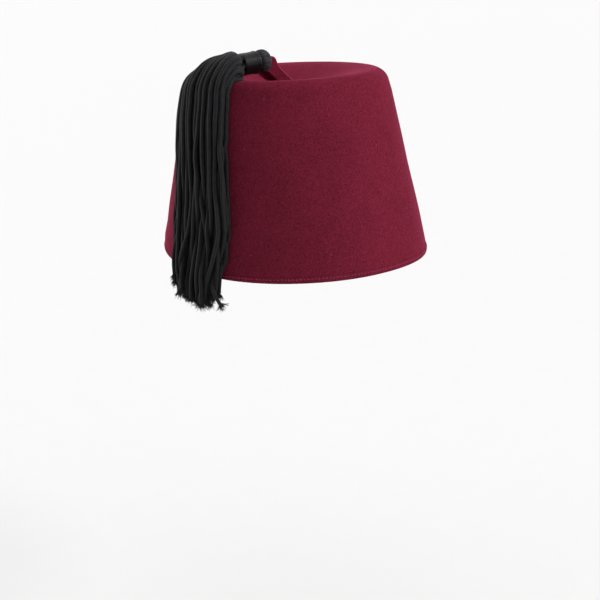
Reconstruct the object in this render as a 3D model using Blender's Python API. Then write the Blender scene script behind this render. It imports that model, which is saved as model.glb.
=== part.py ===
"""A felt fez with a cord tassel, as it sits on a head.

Metres, +Z up. The origin is the centre of the rim's opening. The front is -Y, and the tassel hangs over
-X, the wearer's right. The hat is one blocked felt crown, a felt strap that stands in the middle of its
dished tip, and a tassel whose cords fold over that strap, pass through a wound collar and fall over the
crown's edge.
"""

import math

import bpy
from mathutils import Vector

MM = 0.001
CLEARANCE = 0.3 * MM

# Felt crown
RIM_HALF_WIDTH = 89.8 * MM
RIM_HALF_LENGTH = 96.2 * MM
TIP_HALF_WIDTH = 65.9 * MM  # where the wall's line would reach the crest's height
TIP_HALF_LENGTH = 63.6 * MM
CROWN_HEIGHT = 121.0 * MM
WALL_BULGE = 1.2 * MM
CORNER_RADIUS = 9.5 * MM
DISH_DEPTH = 11.5 * MM
FELT_THICKNESS = 2.8 * MM
RIM_EDGE_ROUND = 0.7 * MM

# Felt strap that holds the tassel
STRAP_WIDTH = 7.6 * MM
STRAP_THICKNESS = 2.8 * MM
STRAP_EDGE_ROUND = 0.7 * MM
STRAP_SLOPE = math.radians(42)  # how steeply its legs rise from the tip to the bulb
STRAP_SPREAD = 3.9 * MM  # how much further back the rear leg's foot stands than its top
FOLD_RADIUS = 2.1 * MM

# Tassel head: its axis starts at the folded cords' end and runs outwards over the tip
HEADING = math.radians(4)  # the head points to the wearer's right, turned this far to the front
HEAD_START = 14.0 * MM  # from the hat's axis
HEAD_RISE = 8.4 * MM  # above the crest
HEAD_SLOPE = math.radians(3)
BULB_LENGTH = 9.4 * MM
BULB_RADIUS = 7.7 * MM
PLEAT_DEPTH = 0.5 * MM
NECK_RADIUS = 5.4 * MM
COLLAR_LENGTH = 12.8 * MM
COLLAR_WALL = 1.1 * MM
COLLAR_RIDGE = 0.4 * MM

# Tassel skirt
LOCKS = 12
SKIRT_HALF_WIDTH = 28.0 * MM
SKIRT_THICKNESS = 9.0 * MM
SKIRT_GAP = 0.7 * MM  # between the cords and the felt
LOCK_RELIEF = 1.5 * MM
LOCK_SWAY = 0.035  # as a share of the skirt's half width
BACK_FALL = 0.45  # how much lower the cords lie on the crest at the skirt's back edge
NECK_SPRING = 24.0 * MM  # how strongly the cords spring up and aside where they leave the collar
FRINGE_DROP = 18.0 * MM  # the longest lock's reach below the rim
LOCK_SPLIT = 11.0 * MM  # above the rim, where the locks part

CROWN_SIDES = 60
COLLAR_SIDES = 32

# Heights of the wall's rings as shares of the straight wall, from the rim up
WALL_LEVELS = (0.02, 0.12, 0.26, 0.42, 0.58, 0.74, 0.88)
CORNER_STEPS = 6
# Radii of the tip's rings as shares of the crest's radius, from the crest inwards
DISH_RADII = (0.9, 0.78, 0.64, 0.5, 0.36, 0.22, 0.1)

# Bulb: columns are the place as a share of BULB_LENGTH and the radius as a share of BULB_RADIUS
BULB_SECTIONS = (
    (0.00, 0.42),
    (0.08, 0.68),
    (0.24, 0.89),
    (0.48, 1.00),
    (0.72, 0.98),
    (0.90, 0.86),
)

# Collar: columns are the place as a share of COLLAR_LENGTH and the height of the ridge as a share of COLLAR_RIDGE
COLLAR_SECTIONS = (
    (0.00, -0.80),
    (0.05, 0.60),
    (0.12, 1.00),
    (0.20, 0.35),
    (0.50, 0.00),
    (0.84, 0.25),
    (0.94, 0.60),
    (1.00, -0.80),
)

# Skirt: columns are the place (0 crest, 1 top of the wall, 2 rim), the middle's turn towards the front in
# degrees, and the half width and the thickness as shares of SKIRT_HALF_WIDTH and SKIRT_THICKNESS
SKIRT_SECTIONS = (
    (0.00, 7.5, 0.76, 1.42),
    (0.50, 7.3, 0.83, 1.22),
    (1.00, 6.3, 0.90, 1.00),
    (1.15, 6.5, 0.93, 0.94),
    (1.30, 8.6, 0.92, 0.92),
    (1.45, 11.2, 0.90, 0.92),
    (1.60, 12.7, 0.90, 0.95),
    (1.75, 12.9, 0.96, 1.00),
    (1.90, 12.8, 0.97, 1.02),
    (2.10, 12.3, 0.90, 1.00),
    (2.30, 12.3, 0.80, 0.90),
)
APPROACH_STEPS = 5

# Length of each lock's hanging end as a share of FRINGE_DROP, from the front lock to the back one
LOCK_DROPS = (0.62, 0.80, 0.92, 1.00, 0.95, 0.86, 0.80, 0.68, 0.64, 0.50, 0.42, 0.30)

MAROON = (0.20, 0.012, 0.040, 1.0)
BLACK = (0.010, 0.010, 0.011, 1.0)


def clear_scene():
    for obj in list(bpy.data.objects):
        bpy.data.objects.remove(obj)


def cloth(name, colour, roughness):
    material = bpy.data.materials.new(name)
    material.use_nodes = True
    shader = material.node_tree.nodes["Principled BSDF"]
    shader.inputs["Base Color"].default_value = colour
    shader.inputs["Roughness"].default_value = roughness
    shader.inputs["Metallic"].default_value = 0.0
    material.diffuse_color = colour
    return material


def add_object(name, points, faces, material, smooth_angle=40):
    mesh = bpy.data.meshes.new(name)
    mesh.from_pydata([tuple(p) for p in points], [], faces)
    mesh.validate()
    mesh.materials.append(material)
    mesh.shade_smooth()
    mesh.set_sharp_from_angle(angle=math.radians(smooth_angle))
    obj = bpy.data.objects.new(name, mesh)
    bpy.context.scene.collection.objects.link(obj)
    return obj


def ring_faces(first, second):
    """Quads between two closed rings of vertex numbers that run the same way round."""
    count = len(first)
    return [
        (first[i], first[(i + 1) % count], second[(i + 1) % count], second[i])
        for i in range(count)
    ]


# The crown's shape, which the tassel also follows


def wall_radius(rim, tip, height):
    share = height / CROWN_HEIGHT
    return rim + (tip - rim) * share + 4 * WALL_BULGE * share * (1 - share)


def wall_lean(rim, tip, height):
    """The wall's angle from the vertical at a height."""
    share = height / CROWN_HEIGHT
    return math.atan((rim - tip - 4 * WALL_BULGE * (1 - 2 * share)) / CROWN_HEIGHT)


def corner_start(rim, tip):
    """Height where the straight wall ends, and the corner's centre as (radius, height)."""
    lean = wall_lean(rim, tip, CROWN_HEIGHT)
    height = CROWN_HEIGHT - CORNER_RADIUS * (1 - math.sin(lean))
    radius = wall_radius(rim, tip, height) - CORNER_RADIUS * math.cos(lean)
    return height, radius, CROWN_HEIGHT - CORNER_RADIUS


def dish_point(crest, share):
    """(radius, height, angle of the normal) of the dished tip at a share of the crest's radius."""
    fall = 1 - share * share
    slope = 4 * DISH_DEPTH * fall * share / crest
    return share * crest, CROWN_HEIGHT - DISH_DEPTH * fall * fall, math.pi / 2 + math.atan(slope)


def profile(rim, tip, place, inset):
    """(radius, height) on the felt, at an inset under its outer face.

    The place is -1 at the tip's centre, 0 at the crest, 1 at the top of the wall, 2 at the rim, and past 2
    straight down below the rim.
    """
    wall_top, corner_radius, corner_height = corner_start(rim, tip)
    if place < 0:
        radius, height, normal = dish_point(corner_radius, 1 + place)
    elif place <= 1:
        lean = wall_lean(rim, tip, CROWN_HEIGHT)
        normal = math.pi / 2 - place * (math.pi / 2 - lean)
        radius = corner_radius + CORNER_RADIUS * math.cos(normal)
        height = corner_height + CORNER_RADIUS * math.sin(normal)
    else:
        height = wall_top * (2 - place)
        on_wall = max(height, 0)
        radius = wall_radius(rim, tip, on_wall)
        normal = wall_lean(rim, tip, on_wall)
    return radius - inset * math.cos(normal), height - inset * math.sin(normal)


def on_felt(turn, place, inset=0.0):
    """A point on the crown. The turn is 0 over -X and grows towards the front."""
    across, across_height = profile(RIM_HALF_WIDTH, TIP_HALF_WIDTH, place, inset)
    along, along_height = profile(RIM_HALF_LENGTH, TIP_HALF_LENGTH, place, inset)
    cos, sin = math.cos(turn), math.sin(turn)
    return Vector((-across * cos, -along * sin, across_height * cos * cos + along_height * sin * sin))


def wall_place(share):
    """The place of a share of the straight wall, counted up from the rim."""
    return 2 - share


def make_crown(material):
    outer = [wall_place(share) for share in WALL_LEVELS]
    outer += [1 - step / CORNER_STEPS for step in range(CORNER_STEPS + 1)]
    outer += [radius - 1 for radius in DISH_RADII]
    levels = [(place, 0.0) for place in outer]
    levels += [(place, FELT_THICKNESS) for place in reversed(outer)]
    points, faces, rings = [], [], []

    def add_ring(place, inset, flat_at=None):
        ring = []
        for side in range(CROWN_SIDES):
            point = on_felt(2 * math.pi * side / CROWN_SIDES, place, inset)
            if flat_at is not None:
                point.z = flat_at
            ring.append(len(points))
            points.append(point)
        rings.append(ring)

    add_ring(2, RIM_EDGE_ROUND, flat_at=0)
    for place, inset in levels[: len(outer)]:
        add_ring(place, inset)
    outer_pole = len(points)
    points.append(on_felt(0, -1))
    inner_pole = len(points)
    points.append(on_felt(0, -1, FELT_THICKNESS))
    turn_back = len(rings)
    for place, inset in levels[len(outer) :]:
        add_ring(place, inset)
    add_ring(2, FELT_THICKNESS - RIM_EDGE_ROUND, flat_at=0)

    for number in range(len(rings) - 1):
        if number == turn_back - 1:
            continue
        faces += ring_faces(rings[number], rings[number + 1])
    faces += ring_faces(rings[-1], rings[0])
    last, first = rings[turn_back - 1], rings[turn_back]
    for side in range(CROWN_SIDES):
        after = (side + 1) % CROWN_SIDES
        faces.append((last[side], last[after], outer_pole))
        faces.append((first[after], first[side], inner_pole))
    return add_object("crown", points, faces, material)


# The tassel's head


def from_heading(out, aside, up):
    """A point from its distance along the heading, to the front of it, and above the crest."""
    cos, sin = math.cos(HEADING), math.sin(HEADING)
    return Vector((-out * cos + aside * sin, -out * sin - aside * cos, CROWN_HEIGHT + up))


def head_axis(distance):
    """(out, up) on the head's axis, at a distance from the bulb's end."""
    return (
        HEAD_START + distance * math.cos(HEAD_SLOPE),
        HEAD_RISE - distance * math.sin(HEAD_SLOPE),
    )


def around_head(distance, radius, angle):
    """A point round the head's axis. The angle is 0 to the front and 90 degrees on top."""
    out, up = head_axis(distance)
    lift = radius * math.sin(angle)
    return from_heading(
        out + lift * math.sin(HEAD_SLOPE), radius * math.cos(angle), up + lift * math.cos(HEAD_SLOPE)
    )


def foot_height():
    """Height of the strap's feet over the crest: just clear of the dish with all their corners."""
    crest = corner_start(RIM_HALF_LENGTH, TIP_HALF_LENGTH)[1]
    corner = math.hypot(1.2 * STRAP_WIDTH / 2, FOLD_RADIUS + STRAP_SPREAD + STRAP_THICKNESS / 2)
    return dish_point(crest, corner / crest)[1] - CROWN_HEIGHT + CLEARANCE


def strap_route():
    """(along its slope from the bulb's middle, aside) from the front foot over the fold to the rear foot."""
    length = (HEAD_RISE - foot_height()) / math.sin(STRAP_SLOPE)
    legs = (1.0, 0.72, 0.5, 0.28, 0.1, 0.0)
    front = [(-share * length, FOLD_RADIUS) for share in legs]
    fold = [
        (FOLD_RADIUS * math.sin(turn), FOLD_RADIUS * math.cos(turn))
        for turn in (math.pi * step / 8 for step in range(1, 8))
    ]
    rear = [(-share * length, -FOLD_RADIUS - STRAP_SPREAD * share**1.5) for share in reversed(legs)]
    return front + fold + rear


def strap_section(grow):
    """(up its width, across the thickness) round the strap's rectangular section with its edges broken."""
    half_width = STRAP_WIDTH / 2 + grow
    half_thick = STRAP_THICKNESS / 2 + grow
    corner = STRAP_EDGE_ROUND
    return [
        (half_width, half_thick - corner),
        (half_width - corner, half_thick),
        (corner - half_width, half_thick),
        (-half_width, half_thick - corner),
        (-half_width, corner - half_thick),
        (corner - half_width, -half_thick),
        (half_width - corner, -half_thick),
        (half_width, corner - half_thick),
    ]


def make_strap(name, material, grow=0.0):
    """The folded strap, or with grow the room that it needs in the bulb. Its feet are cut level."""
    middle_out, middle_up = head_axis(BULB_LENGTH / 2)
    cos, sin = math.cos(STRAP_SLOPE), math.sin(STRAP_SLOPE)
    route = [Vector(p) for p in strap_route()]
    points, faces, rings = [], [], []
    for number, spot in enumerate(route):
        before = route[max(number - 1, 0)]
        after = route[min(number + 1, len(route) - 1)]
        forward = (after - before).normalized()
        normal = Vector((-forward.y, forward.x))
        ring = []
        for width, thick in strap_section(grow):
            along, aside = spot + normal * thick
            if number in (0, len(route) - 1):
                along = (foot_height() - middle_up - width * cos) / sin
            ring.append(len(points))
            points.append(
                from_heading(
                    middle_out + along * cos - width * sin, aside, middle_up + along * sin + width * cos
                )
            )
        rings.append(ring)
    for first, second in zip(rings, rings[1:]):
        faces += ring_faces(second, first)
    faces.append(tuple(rings[0]))
    faces.append(tuple(reversed(rings[-1])))
    return add_object(name, points, faces, material)


def make_collar(material):
    inner = NECK_RADIUS + CLEARANCE
    start = BULB_LENGTH + CLEARANCE
    profile_points = [
        (start + place * COLLAR_LENGTH, inner + COLLAR_WALL + ridge * COLLAR_RIDGE)
        for place, ridge in COLLAR_SECTIONS
    ]
    profile_points += [(start + COLLAR_LENGTH, inner), (start, inner)]
    points, faces, rings = [], [], []
    for distance, radius in profile_points:
        ring = []
        for side in range(COLLAR_SIDES):
            ring.append(len(points))
            points.append(around_head(distance, radius, 2 * math.pi * side / COLLAR_SIDES))
        rings.append(ring)
    for first, second in zip(rings, rings[1:] + rings[:1]):
        faces += ring_faces(first, second)
    return add_object("tassel_collar", points, faces, material)


# The tassel's cords: bulb, neck and skirt in one skin. Every ring has three points for each lock on its
# outer side, where the first of the three lies in the groove before the lock, and one on its inner side.


def outer_count():
    return 3 * LOCKS + 1


def lock_share(number):
    """Where an outer point lies across the skirt, from 1 at the front edge to -1 at the back edge."""
    lock, part = divmod(number, 3)
    return 1 - 2 * (lock + (0, 0.25, 0.75)[part]) / LOCKS


def head_ring(distance, radius, pleat):
    """A round ring of the head, matched point by point to the skirt's."""
    low = math.radians(-50)
    sweep = math.radians(280)
    ring = []
    for number in range(outer_count()):
        depth = pleat if number % 3 == 0 else 0
        angle = low + sweep * (1 - lock_share(number)) / 2
        ring.append(around_head(distance, radius - depth, angle))
    for lock in range(LOCKS - 1, 0, -1):
        angle = low - (2 * math.pi - sweep) * lock / LOCKS
        ring.append(around_head(distance, radius, angle))
    return ring


def section_at(place):
    """(turn of the middle, half width, thickness) of the skirt, read between its table's rows."""
    rows = SKIRT_SECTIONS
    for row, after in zip(rows, rows[1:]):
        if place <= after[0]:
            break
    share = (place - row[0]) / (after[0] - row[0])
    turn, width, thick = (a + (b - a) * share for a, b in zip(row[1:], after[1:]))
    return math.radians(turn), width * SKIRT_HALF_WIDTH, thick * SKIRT_THICKNESS


def on_skirt(share, place, height):
    """A point across the skirt at a height above the felt, as a share of the skirt's thickness."""
    middle, half_width, thickness = section_at(place)
    spot = on_felt(middle, min(place, 2))
    sway = LOCK_SWAY * math.sin(6 * place + 7 * share) * (1 - share * share)
    turn = middle + (share + sway) * half_width / math.hypot(spot.x, spot.y)
    fall = BACK_FALL * max(-share, 0) * max(1 - place, 0)
    return on_felt(turn, place, -SKIRT_GAP - height * thickness * (1 - fall))


def outer_height(share, in_groove):
    """How far the outer side stands off the felt, as a share of the skirt's thickness."""
    if abs(share) == 1:
        return 0.3
    crown = 1 - 0.45 * abs(share) ** 3
    return crown - (LOCK_RELIEF / SKIRT_THICKNESS if in_groove else 0)


def inner_height(share):
    return 0.15 * share**6


def skirt_ring(place):
    ring = []
    for number in range(outer_count()):
        share = lock_share(number)
        ring.append(on_skirt(share, place, outer_height(share, number % 3 == 0)))
    for lock in range(LOCKS - 1, 0, -1):
        share = lock_share(3 * lock)
        ring.append(on_skirt(share, place, inner_height(share)))
    return ring


def approach_rings():
    """Rings from the neck's end to the crest: the cords spring up from the collar and spread."""
    neck_end = BULB_LENGTH + COLLAR_LENGTH + 2 * CLEARANCE
    start = head_ring(neck_end, NECK_RADIUS, 0)
    end = skirt_ring(0)
    axis = (around_head(1, 0, 0) - around_head(0, 0, 0)).normalized()
    centre = around_head(neck_end, 0, 0)
    rings = [start]
    for step in range(1, APPROACH_STEPS):
        t = step / APPROACH_STEPS
        ring = []
        for first, last in zip(start, end):
            reach = (last - first).length
            spring = (first - centre) * NECK_SPRING / NECK_RADIUS
            spring.z = max(spring.z, 0) * (0.75 + 0.25 * math.copysign(1, -spring.y))
            leave = axis * reach + spring
            land = Vector((last.x, last.y, 0)).normalized() * reach
            ring.append(
                first * (2 * t**3 - 3 * t**2 + 1)
                + leave * (t**3 - 2 * t**2 + t)
                + last * (3 * t**2 - 2 * t**3)
                + land * (t**3 - t**2)
            )
        rings.append(ring)
    return rings


def lock_ring(lock, drop, slim):
    """The section of one free lock at a distance below the place where the locks part."""
    wall_top = corner_start(RIM_HALF_WIDTH, TIP_HALF_WIDTH)[0]
    place = 2 - (LOCK_SPLIT - drop) / wall_top
    middle = lock_share(3 * lock) - 1 / LOCKS
    half = slim / LOCKS
    top = outer_height(middle * 0.98, False)
    low = inner_height(middle)
    half_way = (top + low) / 2
    section = [
        (middle + half, half_way),
        (middle + half * 0.5, top),
        (middle - half * 0.5, top),
        (middle - half, half_way),
        (middle - half * 0.6, low + 0.02),
        (middle + half * 0.6, low + 0.02),
    ]
    if lock == 0:
        section.pop(5)
    if lock == LOCKS - 1:
        section.pop(4)
    return [on_skirt(share, place, height * slim + half_way * (1 - slim)) for share, height in section]


def make_tassel(material):
    rings = [
        head_ring(place * BULB_LENGTH, radius * BULB_RADIUS, PLEAT_DEPTH)
        for place, radius in BULB_SECTIONS
    ]
    rings.append(head_ring(BULB_LENGTH, NECK_RADIUS, 0))
    rings += approach_rings()
    wall_top = corner_start(RIM_HALF_WIDTH, TIP_HALF_WIDTH)[0]
    split = 2 - LOCK_SPLIT / wall_top
    rings += [skirt_ring(row[0]) for row in SKIRT_SECTIONS if row[0] < split]
    rings.append(skirt_ring(split))

    points, faces, numbers = [], [], []
    for ring in rings:
        numbers.append(list(range(len(points), len(points) + len(ring))))
        points += ring
    faces.append(tuple(numbers[0]))
    for first, second in zip(numbers, numbers[1:]):
        faces += ring_faces(second, first)

    last = numbers[-1]
    inner = [last[0], *reversed(last[outer_count() :]), last[outer_count() - 1]]
    for lock, drop in enumerate(LOCK_DROPS):
        root = [last[3 * lock + part] for part in range(4)]
        root += [inner[lock + 1]] * (lock < LOCKS - 1) + [inner[lock]] * (lock > 0)
        length = LOCK_SPLIT + drop * FRINGE_DROP
        before = root
        for share, slim in ((0.2, 0.86), (0.6, 0.8), (0.95, 0.7), (1.0, 0.45)):
            ring = lock_ring(lock, share * length, slim)
            after = list(range(len(points), len(points) + len(ring)))
            points += ring
            faces += ring_faces(after, before)
            before = after
        faces.append(tuple(reversed(before)))
    return add_object("tassel", points, faces, material)


def cut_room_for_strap(tassel):
    """Opens the eye in the bulb where the cords fold over the strap."""
    cutter = make_strap("strap_room", None, grow=CLEARANCE)
    cutter.hide_render = True
    cutter.display_type = "WIRE"
    cut = tassel.modifiers.new("strap eye", "BOOLEAN")
    cut.operation = "DIFFERENCE"
    cut.object = cutter


def main():
    clear_scene()
    make_crown(cloth("crown felt", MAROON, 0.95))
    make_strap("tassel_strap", cloth("strap felt", MAROON, 0.95))
    make_collar(cloth("collar thread", BLACK, 0.45))
    cut_room_for_strap(make_tassel(cloth("tassel cord", BLACK, 0.6)))


main()
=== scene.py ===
import math

import bpy
import numpy as np
from mathutils import Matrix, Vector, noise


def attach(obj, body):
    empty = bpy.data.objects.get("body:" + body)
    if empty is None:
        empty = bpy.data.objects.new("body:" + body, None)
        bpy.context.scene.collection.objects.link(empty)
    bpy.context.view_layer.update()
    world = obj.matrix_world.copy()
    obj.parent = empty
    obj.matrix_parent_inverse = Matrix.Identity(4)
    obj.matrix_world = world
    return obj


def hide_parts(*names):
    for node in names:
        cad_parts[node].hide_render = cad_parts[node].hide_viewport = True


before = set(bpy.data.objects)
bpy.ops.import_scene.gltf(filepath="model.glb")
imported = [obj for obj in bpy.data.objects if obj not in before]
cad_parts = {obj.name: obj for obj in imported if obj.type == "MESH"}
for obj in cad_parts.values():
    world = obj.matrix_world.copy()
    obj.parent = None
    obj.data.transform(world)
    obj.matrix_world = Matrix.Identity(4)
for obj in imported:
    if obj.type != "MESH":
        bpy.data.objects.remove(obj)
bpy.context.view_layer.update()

MM = 0.001
SEED = 57
RNG = np.random.default_rng(SEED)
noise.seed_set(SEED)

# The hat's sizes, as in the solids. The front is -Y and the tassel hangs over -X.
RIM_HALF_WIDTH = 89.8 * MM
RIM_HALF_LENGTH = 96.2 * MM
TIP_HALF_WIDTH = 65.9 * MM
TIP_HALF_LENGTH = 63.6 * MM
CROWN_HEIGHT = 121.0 * MM
WALL_BULGE = 1.2 * MM
WALL_SLOPE = math.radians(12)  # of the wall under the tassel
CORNER_RADIUS = 9.5 * MM
DISH_DEPTH = 11.5 * MM
FELT_THICKNESS = 2.8 * MM
STITCH_HEIGHT = 2.5 * MM
STITCH_PITCH = 2.35 * MM
STITCH_LENGTH = 1.72 * MM
EDGE_ROUND = 1.2 * MM
SEAM_GROOVE = 0.34 * MM  # depth of the groove that the stitches pull
SEAM_GROOVE_OVER = 1.3 * MM  # how far over the stitches it runs
SEAM_GROOVE_WIDTH = 0.45 * MM
HEM_SWELL = 0.14 * MM
HEM_SWELL_HEIGHT = 1.7 * MM
HEM_SWELL_WIDTH = 1.0 * MM
RIM_WAVE = 0.3 * MM
RIM_WAVE_REACH = 30 * MM

# How the felt has set: it stands out a little over the wearer's left temple, and its rim dips there and
# rises on the opposite side.
SET_TURN = math.radians(32)
SET_TOWARDS = np.array((math.cos(SET_TURN), -math.sin(SET_TURN)))
RIM_DIP = 3.3 * MM
DIP_REACH = 45 * MM
# How far the wall stands out at some heights, towards that side and on the far side
SET_HEIGHTS = np.array((0, 24, 58, 85, 106, 114, 121)) * MM
SET_OUT = np.array((0.9, 1.1, 0.4, 1.1, 2.0, 1.7, 0.9)) * MM
FAR_HEIGHTS = np.array((3, 10, 20, 32, 50)) * MM
FAR_OUT = np.array((0.7, 1.2, 0.5, 0.5, 0.0)) * MM

# The strap
STRAP_WIDTH = 7.6 * MM
STRAP_THICKNESS = 2.8 * MM
STRAP_SLOPE = math.radians(42)
STRAP_SPREAD = 3.9 * MM
STRAP_EDGE_ROUND = 0.55 * MM
FOLD_RADIUS = 2.1 * MM
REAR_SHIFT = 6.8 * MM  # how far the rear leg lies outwards of the front one
REAR_SHIFT_START = 9 * MM  # the length below the fold that this takes
FOLD_FLARE = 0.75  # how much wider the strap's upper edge stands where it leaves the bulb
EYE_ROOM = 0.12 * MM  # between the strap and the bulb

# The tassel's head: bulb, neck and collar, along a heading from the tip's middle
HEADING = math.radians(4)
HEAD_START = 14.0 * MM
HEAD_RISE = 8.4 * MM
HEAD_SLOPE = math.radians(3)
BULB_LENGTH = 9.4 * MM
BULB_RADIUS = 7.7 * MM
PLEAT_DEPTH = 0.68 * MM
PLEAT_SWIRL = 0.22
NECK_RADIUS = 5.4 * MM
COLLAR_LENGTH = 12.8 * MM
COLLAR_WALL = 1.1 * MM
COLLAR_RIDGE = 0.4 * MM
THREAD_RADIUS = 0.26 * MM
THREAD_PITCH = 0.46 * MM
CLEARANCE = 0.3 * MM
NECK_END = BULB_LENGTH + COLLAR_LENGTH + 2 * CLEARANCE
NECK_HIDDEN = 5 * MM  # how deep in the collar the cords start
NECK_SPRING = 24.0 * MM  # how strongly the cords spread as they leave it
CREST_SAG = 5.0 * MM

# The skirt of cords
SKIRT_HALF_WIDTH = 28.0 * MM
SKIRT_THICKNESS = 9.0 * MM
FRINGE_DROP = 18.0 * MM

# Collar: columns are the place as a share of its length and the ridge's height as a share of COLLAR_RIDGE
COLLAR_SECTIONS = (
    (0.00, -0.20),
    (0.05, 0.60),
    (0.12, 1.00),
    (0.20, 0.35),
    (0.50, 0.00),
    (0.84, 0.25),
    (0.94, 0.60),
    (1.00, -0.20),
)

# Bulb: columns are the place as a share of BULB_LENGTH and the radius as a share of BULB_RADIUS
BULB_SECTIONS = (
    (-0.02, 0.10),
    (0.00, 0.30),
    (0.04, 0.55),
    (0.13, 0.78),
    (0.27, 0.92),
    (0.48, 1.00),
    (0.72, 0.985),
    (0.88, 0.88),
    (0.97, 0.76),
    (1.03, 0.70),
)

# Skirt: columns are the place (0 crest, 1 top of the wall, 2 rim), the middle's turn towards the front in
# degrees, and the half width and the thickness as shares of SKIRT_HALF_WIDTH and SKIRT_THICKNESS
SKIRT_SECTIONS = (
    (0.00, 7.5, 0.76, 1.42),
    (0.50, 7.3, 0.83, 1.22),
    (1.00, 6.3, 0.90, 1.00),
    (1.15, 6.5, 0.93, 0.94),
    (1.30, 8.6, 0.92, 0.92),
    (1.45, 11.2, 0.90, 0.92),
    (1.60, 12.7, 0.90, 0.95),
    (1.75, 13.3, 0.93, 1.00),
    (1.90, 12.6, 0.91, 1.02),
    (2.10, 11.4, 0.77, 1.00),
    (2.30, 11.0, 0.70, 0.90),
)

# How far the cords reach below the rim as a share of FRINGE_DROP, from the front edge to the back edge
FRINGE_DROPS = (0.72, 0.90, 1.00, 1.04, 1.00, 0.92, 0.84, 0.72, 0.64, 0.52, 0.42, 0.30)

# The cords. The layers are counted from the felt outwards.
CORD_LAYERS = (18, 14, 14)
CORDS = sum(CORD_LAYERS)
CORD_RADIUS = 1.46 * MM
NECK_CORD_RADIUS = 1.0 * MM
CORD_SIDES = 10
CORD_STEP = 1.4 * MM
STATION_STEP = 2.5 * MM
BUNDLE_WAVES = 5.2
TWIST_PITCH = 5.5 * MM
PUSH_ROUNDS = 140
STRAY_KICK = 12.0 * MM  # how far one cord at the front strays aside at its end
STRAY_LIFT = 2.0 * MM
FRAY_STRANDS = 44

# Waves of the cords: columns are the wave's length and its usual size, in mm
SIDE_WAVES = ((85, 1.4), (46, 1.4), (28, 0.5))
HEIGHT_WAVES = ((75, 1.6), (40, 0.9))

# The studio. Angles are in degrees, with azimuth 0 in front of the hat and -90 on the tassel's side.
CAMERA_AZIMUTH = -32
CAMERA_RISE = 10.73
CAMERA_ROLL = -2.59
CAMERA_DISTANCE = 726.7 * MM
CAMERA_LENS = 62.52
SENSOR_WIDTH = 36.0
FRAME_PIXELS = 600
FOCAL_PIXELS = 1042.1
HAT_PIXEL = (296.32, 159.37)  # where the hat's middle stands in the frame
HAT_MIDDLE = 60.58 * MM
DIM_TOWARDS = (-56, -4)  # where the surround is darkest
SURROUND = 0.93  # its strength below and at the horizon
SURROUND_FAR = 1.3  # its strength over the horizon, on the side away from the dark one
FLOOR_HEIGHT = -0.30
FLOOR_REACH = 60.0


# Meshes


def link(name, mesh, *materials):
    for material in materials:
        mesh.materials.append(material)
    obj = bpy.data.objects.new(name, mesh)
    bpy.context.scene.collection.objects.link(obj)
    return obj


def build(name, points, faces, *materials, uvs=None):
    """An object from points and faces; uvs holds a pair for each corner of each face, in order."""
    mesh = bpy.data.meshes.new(name)
    mesh.from_pydata([tuple(p) for p in points], [], faces)
    if uvs is not None:
        layer = mesh.uv_layers.new(name="UVMap")
        layer.data.foreach_set("uv", np.asarray(uvs, dtype=np.float32).ravel())
    mesh.shade_smooth()
    return link(name, mesh, *materials)


class Soup:
    """Points, faces and texture corners of many small forms that become one object."""

    def __init__(self):
        self.points = []
        self.faces = []
        self.uvs = []

    def tube(self, path, radii, sides, start_angle=0.0, offset=0.0):
        """A closed tube along a path, with its texture's V in metres along it."""
        path = np.asarray(path, float)
        count = len(path)
        tangents = np.gradient(path, axis=0)
        tangents /= np.linalg.norm(tangents, axis=1)[:, None]
        normal = np.cross(tangents[0], (0.31, 0.17, 0.93))
        normal /= np.linalg.norm(normal)
        steps = np.linalg.norm(np.diff(path, axis=0), axis=1)
        along = np.concatenate(([0.0], np.cumsum(steps))) + offset
        first = len(self.points)
        angles = start_angle + 2 * math.pi * np.arange(sides) / sides
        for number in range(count):
            tangent = tangents[number]
            normal = normal - tangent * normal.dot(tangent)
            normal /= np.linalg.norm(normal)
            side = np.cross(tangent, normal)
            ring = path[number] + radii[number] * (
                np.cos(angles)[:, None] * normal + np.sin(angles)[:, None] * side
            )
            self.points.extend(ring)
        for number in range(count - 1):
            low = first + number * sides
            for corner in range(sides):
                after = (corner + 1) % sides
                self.faces.append((low + corner, low + after, low + sides + after, low + sides + corner))
                left, right = corner / sides, (corner + 1) / sides
                self.uvs += [
                    (left, along[number]),
                    (right, along[number]),
                    (right, along[number + 1]),
                    (left, along[number + 1]),
                ]
        self.faces.append(tuple(range(first + sides - 1, first - 1, -1)))
        self.uvs += [(0.5, along[0])] * sides
        last = first + (count - 1) * sides
        self.faces.append(tuple(range(last, last + sides)))
        self.uvs += [(0.5, along[-1])] * sides

    def build(self, name, *materials):
        return build(name, self.points, self.faces, *materials, uvs=self.uvs)


# The crown's shape


def wall_radius(rim, tip, height):
    share = height / CROWN_HEIGHT
    return rim + (tip - rim) * share + 4 * WALL_BULGE * share * (1 - share)


def wall_lean(rim, tip, height):
    share = height / CROWN_HEIGHT
    return np.arctan((rim - tip - 4 * WALL_BULGE * (1 - 2 * share)) / CROWN_HEIGHT)


def corner_start(rim, tip):
    lean = wall_lean(rim, tip, CROWN_HEIGHT)
    height = CROWN_HEIGHT - CORNER_RADIUS * (1 - math.sin(lean))
    radius = wall_radius(rim, tip, height) - CORNER_RADIUS * math.cos(lean)
    return height, radius, CROWN_HEIGHT - CORNER_RADIUS


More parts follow.
